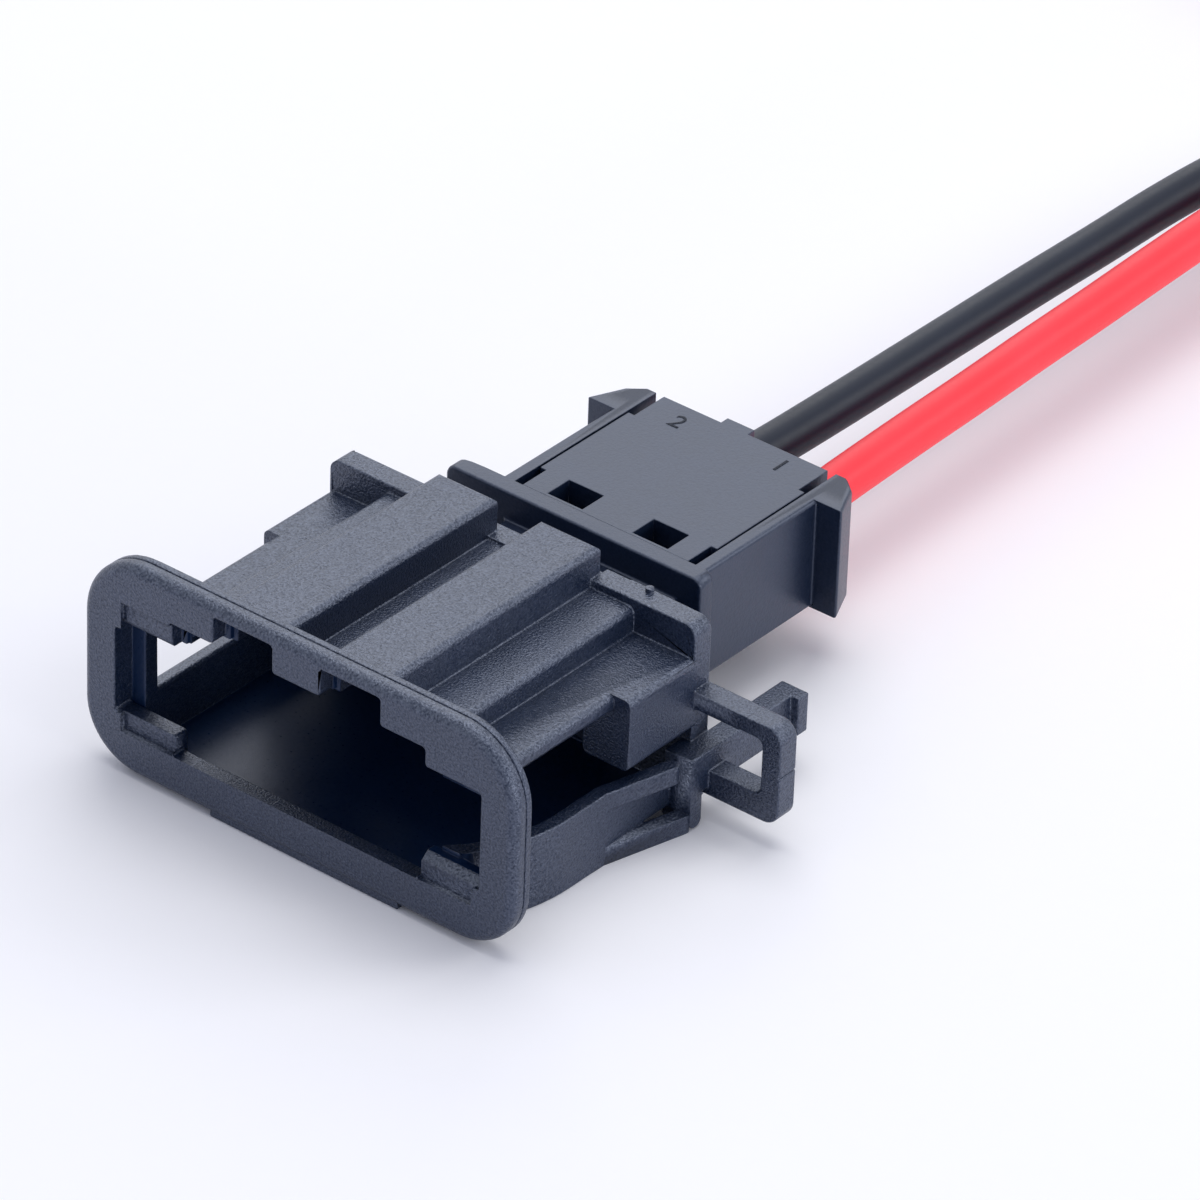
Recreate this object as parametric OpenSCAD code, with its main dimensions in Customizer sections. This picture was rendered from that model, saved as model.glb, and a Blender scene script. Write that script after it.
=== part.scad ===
// Two-way automotive plug: a flanged shroud with a keyed mouth, a contact carrier behind it and two leads.
// X runs along the flange, Y from the mouth to the leads, Z up from the surface it lies on.

/* [Flange] */
// Width of the flange
flange_w = 25.2; // [24:0.1:28]
// Height of the flange
flange_h = 11.2; // [11.1:0.1:12.5]
// Thickness of the flange
flange_t = 1.2; // [1.15:0.05:1.8]
// Radius of the flange's upper corners
flange_r = 3.5; // [2:0.1:4.5]
// Radius of the flange's lower corners
flange_low_r = 3.1; // [2:0.1:4.5]
// Rounding of the flange's front edge
flange_edge = 0.5; // [0.2:0.05:0.6]
// Distance of the parting line from the flange's front face
seam_y = 0.8; // [0.7:0.05:0.9]
// Width and depth of the parting line
seam_w = 0.08; // [0.04:0.01:0.15]
// Length of the pad under the flange
pad_w = 11; // [6:0.5:16]
// Sideways place of the pad's middle
pad_x = 0.5; // [-2:0.1:2]
// Distance of the pad's front from the flange's face
pad_in = 0.1; // [0.05:0.05:0.5]
// Height of the pad, which the plug stands on
pad_h = 0.2; // [0.1:0.05:0.4]

/* [Mouth] */
// Width of the flange's rim beside the mouth
rim_w = 1.95; // [1.7:0.05:2.15]
// Thickness of the mouth's lip
lip_t = 0.83; // [0.6:0.01:1]
// Height of the mouth's sill above the surface
sill_z = 2.3; // [1.8:0.1:2.6]
// Height of the raised ends of the sill
sill_end_z = 3.25; // [2.8:0.05:3.6]
// Depth of those ends
sill_end_t = 1.1; // [0.7:0.05:1.15]
// Rise of the sill's right end, where the spring arm starts
ramp_h = 0.35; // [0.1:0.05:0.5]
// Length of that rise
ramp_l = 0.4; // [0.2:0.05:0.6]
// Half width of the low middle of the sill
sill_half = 7.2; // [5:0.1:8.5]
// How far the corner pads lie behind the flange's face
pocket_d = 0.25; // [0.1:0.05:0.5]
// Top of the mouth under the left shoulder
mouth_left_z = 7.8; // [7.5:0.05:7.85]
// Rounding of the left shoulder's front end
nose_r = 0.5; // [0.2:0.05:0.6]
// Top of the mouth over the right shoulder
mouth_right_z = 8.4; // [8.2:0.05:8.8]
// Top of the mouth under the steps and the key
mouth_step_z = 9.35; // [8.9:0.05:9.8]
// How far the mouth's stepped part reaches past the upper step
mouth_step = 0.15; // [0:0.05:0.4]
// Half width of the key between the rib slots
key_half = 1.4; // [0.8:0.1:1.8]
// Width of a rib slot in the mouth
slot_w = 3.45; // [2.8:0.05:3.6]
// Wall over a rib slot
slot_wall = 0.6; // [0.4:0.05:0.9]
// Thickness of the web behind the mouth that closes it against the roof's walls
web_t = 0.3; // [0.2:0.05:0.35]

/* [Shroud] */
// Length from the flange's face to the end plate's rear face
shroud_l = 15.9; // [15:0.1:18]
// Wall thickness beside the steps
wall = 0.35; // [0.3:0.05:0.8]
// Thickness of the shoulders
shoulder_t = 0.4; // [0.3:0.05:0.6]
// Thickness of the roof over the ribs and steps
roof_t = 0.35; // [0.3:0.05:0.7]
// Width of a top rib
rib_w = 3.5; // [3:0.1:4]
// Side walls of a rib
rib_wall = 0.35; // [0.3:0.05:0.8]
// Gap between the top ribs
rib_gap = 2.5; // [2:0.1:3]
// Height of the ribs above the surface
rib_z = 11.3; // [10.8:0.1:11.35]
// How far the ribs end before the end plate's rear face
rib_back = 0.5; // [0.3:0.05:0.8]
// Half width of the upper step beside the ribs
step_half = 7.3; // [6.8:0.1:8]
// Height of the upper step
step_z = 9.45; // [9.2:0.05:9.7]
// Distance of the shoulders' edges from the flange's edge
shoulder_inset = 2.67; // [2.4:0.01:3]
// Height of the shoulder
shoulder_z = 8.2; // [8:0.05:8.4]
// Height of the beam along the shoulder's edge
beam_h = 0.9; // [0.7:0.05:1.1]
// Distance of that beam from the upper step
beam_off = 0.18; // [0.1:0.02:0.6]
// Length of the side wall between the flange and its window
post_l = 0.8; // [0.5:0.05:2]
// Distance of the side blocks from the flange's face
block_y = 10.1; // [9:0.1:11.5]
// Distance of the left wall's, block's and plate's outer faces from the flange's edge
left_inset = 2; // [1.8:0.05:2.2]
// Distance of the right block's outer face from the flange's edge
block_inset = 1.74; // [1.4:0.01:2.1]
// Width of the right block
block_w = 2.66; // [2:0.02:3.2]
// Height of a side block
block_h = 3.75; // [3:0.05:4.2]
// Thickness of the floor
floor_t = 0.8; // [0.6:0.05:1]
// Thickness of the end plate
plate_t = 1.2; // [1:0.05:1.5]
// Distance of the end plate's right edge from the flange's edge
plate_inset = 1.82; // [1.6:0.02:1.9]
// Height of the end plate's ears
plate_h = 9.88; // [9.7:0.02:10.4]
// Height of the end plate between the ribs
plate_mid_h = 9.6; // [9.5:0.05:9.7]
// Sideways place of the sprue's mark on the right ear
gate_x = 7.35; // [6:0.05:9]
// Corner radius of the end plate
plate_r = 0.6; // [0.3:0.05:1]

/* [Spring arm] */
// Thickness of the arm and of the side walls
arm_t = 0.75; // [0.5:0.05:0.8]
// Height of the arm and of the left wall
arm_h = 3.84; // [3.4:0.02:4.1]
// Distance of the arm's outer face from the flange's edge
arm_inset = 1.95; // [1.8:0.05:2]
// Gap between the arm and the floor
arm_gap = 0.4; // [0.3:0.05:0.6]
// Radius of the arm's bend behind the flange
arm_bend_r = 8.9; // [8:0.1:12]
// Distance of the end of that bend from the flange's face
arm_bend_y = 6.5; // [5.5:0.1:7.5]
// Distance of the kink, where the arm splits and flares
arm_kink_y = 8.9; // [8:0.1:9.2]
// Angle of the flared strips
flare_angle = 15; // [8:1:18]
// Length of the upper flared strip
flare_l = 4.2; // [3:0.1:4.4]
// Length of the lower flared strip
flare_low_l = 4.9; // [3:0.1:5.2]
// Height of each flared strip
strip_h = 0.95; // [0.6:0.05:1.2]

/* [Loop and hook] */
// Reach of the loop past the end plate
loop_reach = 5.05; // [4:0.05:6]
// Height of the loop's lower edge
loop_z = 1.4; // [0.8:0.1:2]
// Height of the loop
loop_h = 5.1; // [4.5:0.1:5.6]
// Upper bar of the loop
loop_top_bar = 0.85; // [0.6:0.05:1.2]
// Outer bar of the loop
loop_bar = 1.05; // [0.8:0.05:1.4]
// Lower bar of the loop
loop_low_bar = 1.35; // [0.8:0.05:1.5]
// Height of the parting line on the loop's outer bar
loop_seam_z = 4; // [2.9:0.1:5]
// Outer corner radius of the loop
loop_r = 0.8; // [0.4:0.05:1]
// Width of the hook's bar outside the end plate
hook_w = 1.1; // [0.8:0.05:1.4]
// How far the hook's root reaches in front of the end plate's edge
hook_root = 0.5; // [0.3:0.05:0.8]
// Height of the hook's bar
hook_h = 2.05; // [1.6:0.05:2.4]
// Height of the hook's lower face
hook_z = 1.8; // [1.5:0.05:2]
// Distance of the hook's front end from the flange's face
hook_y = 13.45; // [13.4:0.05:14]
// Length of the foot under the hook's front end
foot_l = 0.8; // [0.5:0.05:1]
// Height of that foot above the surface
foot_z = 0.1; // [0.05:0.05:0.3]
// Reach of the hook past the end plate
hook_reach = 5.45; // [4:0.05:6.5]
// Sideways reach of the hook's lip
lip_w = 0.45; // [0.3:0.05:1]
// Length of the lip
lip_l = 0.75; // [0.5:0.05:1.2]

/* [Contact carrier] */
// Sideways offset of the carrier, which keys the plug
carrier_x = 1; // [0:0.1:1.4]
// Gap between end plate and collar
collar_gap = 3.5; // [2:0.1:5]
// Thickness of the collar
collar_t = 0.97; // [0.7:0.01:1.3]
// Reach of the collar past the box on the left
collar_left = 2.6; // [1.5:0.1:3]
// Reach of the collar past the box on the right
collar_right = 0.35; // [0.2:0.05:1]
// Reach of the collar below the box
collar_below = 0.6; // [0.3:0.05:1]
// Corner radius of the collar
collar_r = 0.5; // [0.2:0.05:0.8]
// Width of the carrier's box
box_w = 12.04; // [11.8:0.02:13]
// Height of the carrier's box
box_h = 5.85; // [5.7:0.05:6.2]
// Length of the box behind the collar
box_l = 10.35; // [9:0.05:12]
// Height of the box's top above the surface
box_z = 8.6; // [8.3:0.05:8.6]
// Side walls of the box
box_wall = 0.7; // [0.5:0.05:0.9]
// Sideways reach of a barb
barb_w = 1.5; // [0.8:0.05:1.8]
// Length of a barb
barb_l = 2.4; // [1.5:0.1:3]
// Sideways reach of a barb near its rear end
barb_rear = 0.7; // [0.3:0.05:0.75]
// Distance of that place from the carrier's rear end
barb_tail = 0.6; // [0.3:0.1:1.2]
// Length of the neck's end inside the shroud
nose_l = 1.4; // [1:0.1:2]
// Wall round the contact chambers in the neck
nose_wall = 0.9; // [0.6:0.05:0.95]
// Width of a snap wedge on the neck
latch_w = 2; // [1:0.1:3]
// Height of a snap wedge
latch_h = 0.4; // [0.2:0.05:0.6]

/* [Lock cover] */
// Thickness of the cover
cover_t = 1.3; // [1:0.05:1.4]
// Width of the slits beside the cover
slit = 0.12; // [0.06:0.01:0.2]
// Width of the notches at the ends of the slits
notch_w = 0.35; // [0.25:0.05:0.5]
// Length of the front notches
notch_front = 1.7; // [1:0.1:2.5]
// Length of the rear notches
notch_rear = 2.2; // [1:0.1:3]
// Width of a window
window_w = 2.05; // [1.6:0.05:2.4]
// Length of a window
window_l = 1.55; // [1.2:0.05:2]
// Distance of the windows from the collar
window_front = 0.2; // [0.15:0.05:0.6]
// Place of the tongue's left end, from the cover's middle
tab_x = -1.45; // [-3:0.05:1]
// Width of the tongue at the rear edge
tab_w = 1.6; // [1:0.1:2.5]
// Length of that tongue
tab_l = 0.5; // [0.3:0.05:0.8]

/* [Contacts] */
// Pitch of the contacts
pitch = 5; // [4.9:0.05:5.2]
// Width of a contact blade
blade_w = 2.8; // [2.2:0.05:2.9]
// Thickness of a contact blade
blade_t = 0.8; // [0.6:0.05:1]
// Free length of a blade in the shroud
blade_l = 5.4; // [5:0.1:7]
// Height of the contacts' middle above the surface
contact_z = 4.7; // [4.65:0.05:4.75]
// Width of a contact's body
contact_w = 3; // [2.9:0.05:3.1]
// Length of a contact's body
contact_l = 8; // [6:0.1:9]
// Clearance of a contact in its chamber
contact_play = 0.1; // [0.05:0.01:0.12]
// Wall of the contact's sheet
crimp_t = 0.3; // [0.2:0.05:0.35]
// Length of each crimped barrel
crimp_l = 2; // [1.5:0.1:2.5]
// Gap between the two barrels
crimp_gap = 0.6; // [0.3:0.1:1]

/* [Leads] */
// Diameter of a lead
lead_d = 2.2; // [1.8:0.1:2.2]
// Diameter of the coil at the middle of its turns
coil_d = 22; // [20:0.5:26]
// Width of the tie
tie_w = 2.5; // [2:0.1:4]
// Thickness of the tie
tie_t = 0.4; // [0.3:0.05:0.8]

/* [Fits] */
// Clearance of the carrier's neck in the end plate
neck_fit = 0.08; // [0.04:0.01:0.12]
// Clearance between a lead and its crimp
lead_fit = 0.03; // [0.02:0.01:0.05]
// Clearance of the tie round the coil
tie_fit = 0.1; // [0.05:0.01:0.2]
// Slack between the turns of the coil
coil_play = 0.2; // [0.1:0.05:0.4]

/* [Hidden] */
// Overlap that joins the parts of one moulding, the least such overlap, and overrun of a cut
join = 0.2;
skin = 0.01;
over = 1;
// Rounding of moulded edges
soft_r = 0.35;
small_r = 0.2;
$fn = 24;

// Heights and depths of the shroud
flange_top = pad_h + flange_h;
half_w = flange_w / 2;
mouth_half = half_w - rim_w;
mouth_step_half = step_half + mouth_step;
slot_top = flange_top - slot_wall;
// The web reaches half way over the front ends of the roof's walls
web_in = min(wall, rib_wall, roof_t) / 2;
seam_front = seam_y - seam_w / 2;
beam_z = shoulder_z - beam_h;
beam_in = step_half + beam_off;
shoulder_half = half_w - shoulder_inset;
left_half = half_w - left_inset;
block_half = half_w - block_inset;
block_in = block_half - block_w;
plate_half = half_w - plate_inset;
arm_half = half_w - arm_inset;
floor_z = pad_h + floor_t;
plate_y = shroud_l - plate_t;
rib_inner = rib_gap / 2;
rib_outer = rib_inner + rib_w;
rib_end = shroud_l - rib_back;
block_z = shoulder_z - block_h;
arm_in = arm_half - arm_t;
left_in = left_half - arm_t;
floor_right = arm_in - arm_gap;

// Places of the carrier
collar_y = shroud_l + collar_gap;
box_y = collar_y + collar_t;
box_end = box_y + box_l;
box_bottom = box_z - box_h;
box_half = box_w / 2;
cover_half = box_half - box_wall - slit;
cover_z = box_z - cover_t;
nose_y = plate_y - nose_l;
window_y = box_y + window_front;

// Places of the contacts and leads
way_x = [carrier_x - pitch / 2, carrier_x + pitch / 2];
contact_h = lead_d + 2 * (lead_fit + crimp_t);
chamber_half = contact_w / 2 + contact_play;
chamber_bottom = contact_z - contact_h / 2 - contact_play;
chamber_top = contact_z + contact_h / 2 + contact_play;
neck_half = pitch / 2 + chamber_half + nose_wall;
neck_bottom = chamber_bottom - nose_wall;
neck_top = chamber_top + nose_wall;
blade_y = nose_y - blade_l;
body_y = nose_y + nose_wall;
core_y = body_y + contact_l;
grip_y = core_y + crimp_l + crimp_gap;
lead_y = grip_y + join;

// Middle of the plug's own box, at the surface it lies on
rear_end = box_end + tab_l;
origin = [(plate_half + loop_reach - half_w) / 2, rear_end / 2, 0];

// Routes of the leads from the carrier to the coil, before the plug is centred
black_route = [[-1.4, 30.5, 4.7], [-1.25, 33, 4.7], [-1.1, 36, 4.7], [-1, 41, 4.7], [-0.95, 46, 4.7],
    [-0.9, 51, 4.7], [-0.85, 56, 4.7], [-0.75, 61, 4.7], [-0.7, 66, 4.7], [-0.6, 70, 4.6], [-0.5, 74, 4.3],
    [-0.4, 78, 3.9], [-0.3, 82, 3.4], [-0.2, 86, 2.9], [-0.1, 90, 2.45], [0, 94, 2.1], [0, 98, 1.8],
    [0, 102, 1.65], [0, 105, 1.6], [0, 108, 1.6]];
red_route = [[3.5, 30.5, 4.7], [3.35, 33, 4.7], [3.2, 36, 4.7], [3.05, 41, 4.7], [2.95, 46, 4.7],
    [2.8, 51, 4.7], [2.7, 56, 4.7], [2.55, 61, 4.7], [2.45, 66, 4.7], [2.4, 70, 4.6], [2.35, 74, 4.3],
    [2.3, 78, 3.9], [2.3, 82, 3.4], [2.3, 86, 2.9], [2.3, 90, 2.45], [2.3, 94, 2.1], [2.3, 98, 1.8],
    [2.3, 102, 1.65], [2.3, 105, 1.6], [2.3, 108, 1.6]];
// The coil starts where the routes end, with the leads side by side in two layers on the tie
coil_start = (black_route[len(black_route) - 1] + red_route[len(red_route) - 1]) / 2;
coil_mid = [coil_start[0] - coil_d / 2, coil_start[1], tie_t + tie_fit];
coil_w = 2 * lead_d + 2 * coil_play;
coil_h = 2 * lead_d + coil_play;
coil_in = (coil_d - coil_w) / 2;
// Bend of the coil's inner side across the tie
tie_bow = coil_in - sqrt(coil_in * coil_in - tie_w * tie_w / 4);
tie_hole = [coil_w + 2 * (tie_fit + tie_bow), coil_h + 2 * tie_fit];
// Angle that the coil's outer shape leaves free for the leads coming in
coil_gap = 60;

plastic = [0.10, 0.11, 0.14];

// Everything is drawn with the flange's face at y = 0 and then centred
module placed() translate(-origin) children();

module box(x0, x1, y0, y1, z0, z1) translate([x0, y0, z0]) cube([x1 - x0, y1 - y0, z1 - z0]);

// Extrudes an outline drawn in X and Z from y0 to y1
module along_y(y0, y1) translate([0, y1, 0]) rotate([90, 0, 0]) linear_extrude(y1 - y0) children();

// Extrudes an outline drawn in Y and Z from x0 to x1
module along_x(x0, x1) translate([x0, 0, 0]) rotate([90, 0, 90]) linear_extrude(x1 - x0) children();

// Extrudes a plan outline from z0 to z1
module along_z(z0, z1) translate([0, 0, z0]) linear_extrude(z1 - z0) children();

// Flat rectangle between two corners
module area(x0, x1, z0, z1) translate([x0, z0]) square([x1 - x0, z1 - z0]);

// Rounds the convex corners of an outline
module soft(r) offset(r = r) offset(delta = -r) children();

// Rectangle with round corners: radius r0 at its lower edge and r1 at its upper edge
module round_area(x0, x1, z0, z1, r0, r1) {
    area(x0, x1, z0 + r0, z1 - r1);
    area(x0 + r0, x1 - r0, z0, z0 + r0 + join);
    area(x0 + r1, x1 - r1, z1 - r1 - join, z1);
    for (x = [x0 + r0, x1 - r0]) translate([x, z0 + r0]) circle(r0);
    for (x = [x0 + r1, x1 - r1]) translate([x, z1 - r1]) circle(r1);
}

module both_sides() {
    children();
    mirror([1, 0, 0]) children();
}

// Flange outline, drawn in by a distance all round
module flange_area(in) {
    half = half_w - in;
    round_area(-half, half, pad_h + in, flange_top - in, flange_low_r - in, flange_r - in);
}

// Rounded edge between the flange's face and its rim, with straight sides inward and back to the parting line
module rim_area(e) {
    circle(e);
    area(-e, e, 0, e);
    area(0, seam_front - e, -e, e);
}

// Rounded corners of the flange's front edge
module flange_corners(z, r) for (x = [-1, 1]) translate([x * (half_w - r), flange_edge, z])
    rotate([90, 0, 0]) rotate_extrude() translate([r - flange_edge, 0]) circle(flange_edge);

// Plate with a rounded front edge and the parting line round its rim
module flange() {
    e = flange_edge;
    low = pad_h + flange_low_r;
    high = flange_top - flange_r;
    along_y(e, seam_front) flange_area(0);
    along_y(0, flange_t) flange_area(e);
    along_y(e, flange_t) flange_area(seam_w);
    along_y(seam_front + seam_w, flange_t) flange_area(0);
    flange_corners(low, flange_low_r);
    flange_corners(high, flange_r);
    along_x(flange_low_r - half_w, half_w - flange_low_r) translate([e, pad_h + e]) rim_area(e);
    along_x(flange_r - half_w, half_w - flange_r) translate([e, flange_top - e]) mirror([0, 1]) rim_area(e);
    for (x = [-1, 1]) translate([x * (half_w - e), e, low]) cylinder(r = e, h = high - low);
    box(pad_x - pad_w / 2, pad_x + pad_w / 2, pad_in, flange_t, 0, pad_h + e);
}

// Keyed outline of the mouth: the left shoulder hangs lower than the right one
module mouth_area() offset(r = small_r) offset(r = -2 * small_r) offset(r = small_r) {
    area(-mouth_half, mouth_half, sill_end_z, mouth_left_z);
    area(-sill_half, sill_half, sill_z, mouth_left_z);
    area(-mouth_step_half, mouth_half, mouth_left_z - join, mouth_right_z);
    area(-mouth_step_half, mouth_step_half, mouth_left_z - join, mouth_step_z);
    for (x = [key_half, -key_half - slot_w]) area(x, x + slot_w, mouth_step_z - join, slot_top);
}

// What stays open behind the mouth within the web
module mouth_through() intersection() {
    mouth_area();
    union() {
        area(-half_w, half_w, 0, mouth_left_z + join / 2);
        area(web_in - step_half, shoulder_half - web_in, 0, shoulder_z - web_in);
        area(web_in - step_half, step_half - web_in, 0, step_z - web_in);
        for (x = [-rib_outer, rib_inner]) area(x + web_in, x + rib_w - web_in, 0, rib_z - web_in);
    }
}

// Opening in the flange with its thin lip, the recessed corner pads and the rounded end of the left shoulder
module mouth() {
    pad_out = mouth_half - soft_r;
    along_y(-over, flange_t - web_t) mouth_area();
    along_y(flange_t - web_t - join, flange_t + join) mouth_through();
    along_y(lip_t, flange_t + join) area(-sill_half, sill_half, floor_z, sill_z + join);
    both_sides() {
        along_y(-over, pocket_d) area(sill_half, pad_out, sill_z, sill_end_z + join);
        along_y(sill_end_t, flange_t + join) area(sill_half - join, mouth_half, floor_z, sill_end_z + join);
    }
    along_y(-over, pocket_d) area(-pad_out, -mouth_step_half, mouth_left_z - join, mouth_step_z - small_r);
    along_x(-mouth_half, -mouth_step_half + join) translate([pocket_d, mouth_left_z]) difference() {
        translate([-join, -join]) square(nose_r + join);
        translate([nose_r, nose_r]) circle(nose_r);
    }
}

// Roof with the ribs, steps and shoulders, as seen from the front
module roof_area() soft(soft_r) {
    area(-shoulder_half, shoulder_half, beam_z, shoulder_z);
    area(-step_half, step_half, beam_z, step_z);
    for (x = [-rib_outer, rib_inner]) area(x, x + rib_w, beam_z, rib_z);
}

// Hollow under the roof
module roof_hollow() {
    area(wall - step_half, step_half - wall, beam_z - over, step_z - roof_t);
    area(-beam_in, beam_in, beam_z - over, shoulder_z - shoulder_t);
    area(-shoulder_half - over, 0, beam_z - over, mouth_left_z);
    area(join - step_half, 0, beam_z - over, shoulder_z);
    for (x = [-rib_outer, rib_inner]) area(x + rib_wall, x + rib_w - rib_wall, beam_z, rib_z - roof_t);
}

// The roof's rear end is closed, and the ribs' rear edges are rounded
module roof() intersection() {
    union() {
        along_y(flange_t - skin, plate_y) difference() {
            roof_area();
            roof_hollow();
        }
        along_y(plate_y - join, rib_end) roof_area();
    }
    along_x(-half_w, half_w) soft(soft_r) area(-over, rib_end, beam_z - over, rib_z);
}

// End plate: its upper corners stand up as ears beside the ribs, the right one with the mark of the sprue
module end_plate() {
    along_y(plate_y, shroud_l) difference() {
        round_area(-left_half, plate_half, 0, plate_h, plate_r, plate_r);
        area(-rib_outer, rib_outer, plate_mid_h, plate_h + over);
    }
    translate([gate_x, shroud_l - small_r, plate_h - small_r]) cylinder(r = small_r, h = 2 * small_r);
}

// Floor, left wall, posts before the side windows and blocks behind them
module side_walls() {
    box(-left_in, floor_right, flange_t - join, plate_y + join, pad_h, floor_z);
    along_y(flange_t - skin, plate_y + join) soft(small_r) area(-left_half, -left_in, pad_h, arm_h);
    along_y(flange_t - skin, flange_t + post_l) {
        area(-mouth_half - join, -left_in, sill_end_z - join, shoulder_z);
        area(arm_in, mouth_half + join, sill_end_z - join, shoulder_z);
    }
    along_y(block_y, plate_y + join) soft(soft_r) area(-left_half, -block_in, block_z, shoulder_z);
    along_y(block_y, plate_y + join) soft(soft_r) area(block_in, block_half, block_z, shoulder_z);
}

// Leaf on the right that bends out behind the flange and runs between two flared strips to the hook's foot
module spring_arm() {
    along_z(0, arm_h) {
        intersection() {
            translate([arm_half - arm_bend_r, arm_bend_y]) difference() {
                circle(arm_bend_r, $fn = 96);
                circle(arm_bend_r - arm_t, $fn = 96);
            }
            area(0, arm_half, flange_t - join, arm_bend_y);
        }
        area(arm_in, arm_half, arm_bend_y - skin, arm_kink_y);
    }
    along_z(strip_h, arm_h - strip_h) area(arm_in, arm_half, arm_kink_y - join, hook_y + join);
    flared_strip(0, flare_low_l);
    flared_strip(arm_h - strip_h, flare_l);
}

// Strip that leans out from the arm, with a round end
module flared_strip(z, l) along_z(z, z + strip_h) translate([arm_half, arm_kink_y]) rotate(-flare_angle) {
    translate([-arm_t, -join]) square([arm_t, l - arm_t / 2 + join]);
    translate([-arm_t / 2, l - arm_t / 2]) circle(arm_t / 2);
}

// Rectangular eye beside the end plate, with the parting line across its outer bar
module loop() along_y(plate_y, shroud_l) difference() {
    outer = plate_half + loop_reach;
    soft(loop_r) area(plate_half - over, outer, loop_z, loop_z + loop_h);
    soft(soft_r) area(plate_half, outer - loop_bar, loop_z + loop_low_bar, loop_z + loop_h - loop_top_bar);
    area(outer - seam_w, outer + over, loop_seam_z, loop_seam_z + seam_w);
}

// Long bar past the end plate with a lip at its end and a foot under its front end
module hook() {
    end = shroud_l + hook_reach;
    outer = plate_half + hook_w;
    along_z(hook_z, hook_z + hook_h) {
        area(plate_half - hook_root, outer, hook_y, shroud_l);
        area(plate_half, outer, shroud_l - join, end);
        area(outer - join, outer + lip_w, end - lip_l, end);
    }
    along_x(plate_half - hook_root, outer)
        soft(soft_r) area(hook_y, hook_y + foot_l, foot_z, hook_z + join + soft_r);
}

// Rise of the sill's right end
module sill_ramp() {
    top = sill_end_z + ramp_h;
    along_x(sill_half, mouth_half + join) polygon([[pocket_d, sill_end_z - join], [pocket_d, sill_end_z],
        [pocket_d + ramp_l, top], [sill_end_t, top], [sill_end_t, sill_end_z - join]]);
}

// The outer moulding
module shroud() color(plastic) placed() {
    difference() {
        union() {
            difference() {
                flange();
                mouth();
            }
            roof();
            end_plate();
            side_walls();
            loop();
            hook();
        }
        along_y(plate_y - over, shroud_l + over) area(carrier_x - neck_half - neck_fit,
            carrier_x + neck_half + neck_fit, neck_bottom - neck_fit, neck_top + neck_fit);
    }
    sill_ramp();
    spring_arm();
}

// Chambers and blade slots of the contacts
module chambers() for (x = way_x) {
    box(x - chamber_half, x + chamber_half, body_y - contact_play, box_end + over,
        chamber_bottom, chamber_top);
    box(x - blade_w / 2 - contact_play, x + blade_w / 2 + contact_play, nose_y - over, body_y + over,
        contact_z - blade_t / 2 - contact_play, contact_z + blade_t / 2 + contact_play);
}

// Places of the windows through the cover and the wall below it
module windows(z0, z1) for (x = way_x)
    box(x - window_w / 2, x + window_w / 2, window_y, window_y + window_l, z0, z1);

// Snap wedge on the neck, which holds the carrier behind the end plate
module latch() along_z(contact_z - latch_w / 2, contact_z + latch_w / 2)
    polygon([[neck_half - join, nose_y], [neck_half, nose_y], [neck_half + latch_h, plate_y - neck_fit],
             [neck_half - join, plate_y - neck_fit]]);

// Barb on a side wall
module barb() along_z(box_bottom, box_z)
    polygon([[box_half - join, box_end - barb_l], [box_half + barb_w, box_end - barb_l],
             [box_half + barb_rear, box_end - barb_tail], [box_half, box_end], [box_half - join, box_end]]);

// Inner moulding that holds the contacts
module contact_carrier() color(plastic) placed() difference() {
    union() {
        box(carrier_x - neck_half, carrier_x + neck_half, nose_y, collar_y + join, neck_bottom, neck_top);
        along_y(collar_y, box_y) translate([carrier_x, 0]) soft(collar_r)
            area(-box_half - collar_left, box_half + collar_right, box_bottom - collar_below, box_z);
        along_y(box_y - join, box_end) translate([carrier_x, 0]) soft(small_r)
            area(-box_half, box_half, box_bottom, box_z);
        translate([carrier_x, 0, 0]) both_sides() {
            latch();
            barb();
        }
    }
    box(carrier_x - cover_half - slit, carrier_x + cover_half + slit, box_y, box_end + over,
        cover_z, box_z + over);
    chambers();
    windows(chamber_top - over, cover_z + over);
}

// Cut in the cover's edge
module notch(y0, y1) box(cover_half - notch_w, cover_half + over, y0, y1, cover_z - over, box_z + over);

// Cover that slides in over the contacts and locks them
module lock_cover() color([0.12, 0.13, 0.16]) placed() translate([carrier_x, 0, 0]) difference() {
    union() {
        box(-cover_half, cover_half, box_y, box_end, cover_z, box_z);
        box(tab_x, tab_x + tab_w, box_end - join, box_end + tab_l, cover_z, box_z);
    }
    translate([-carrier_x, 0, 0]) windows(cover_z - over, box_z + over);
    both_sides() {
        notch(box_y - over, box_y + notch_front);
        notch(box_end - notch_rear, box_end + over);
    }
}

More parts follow.
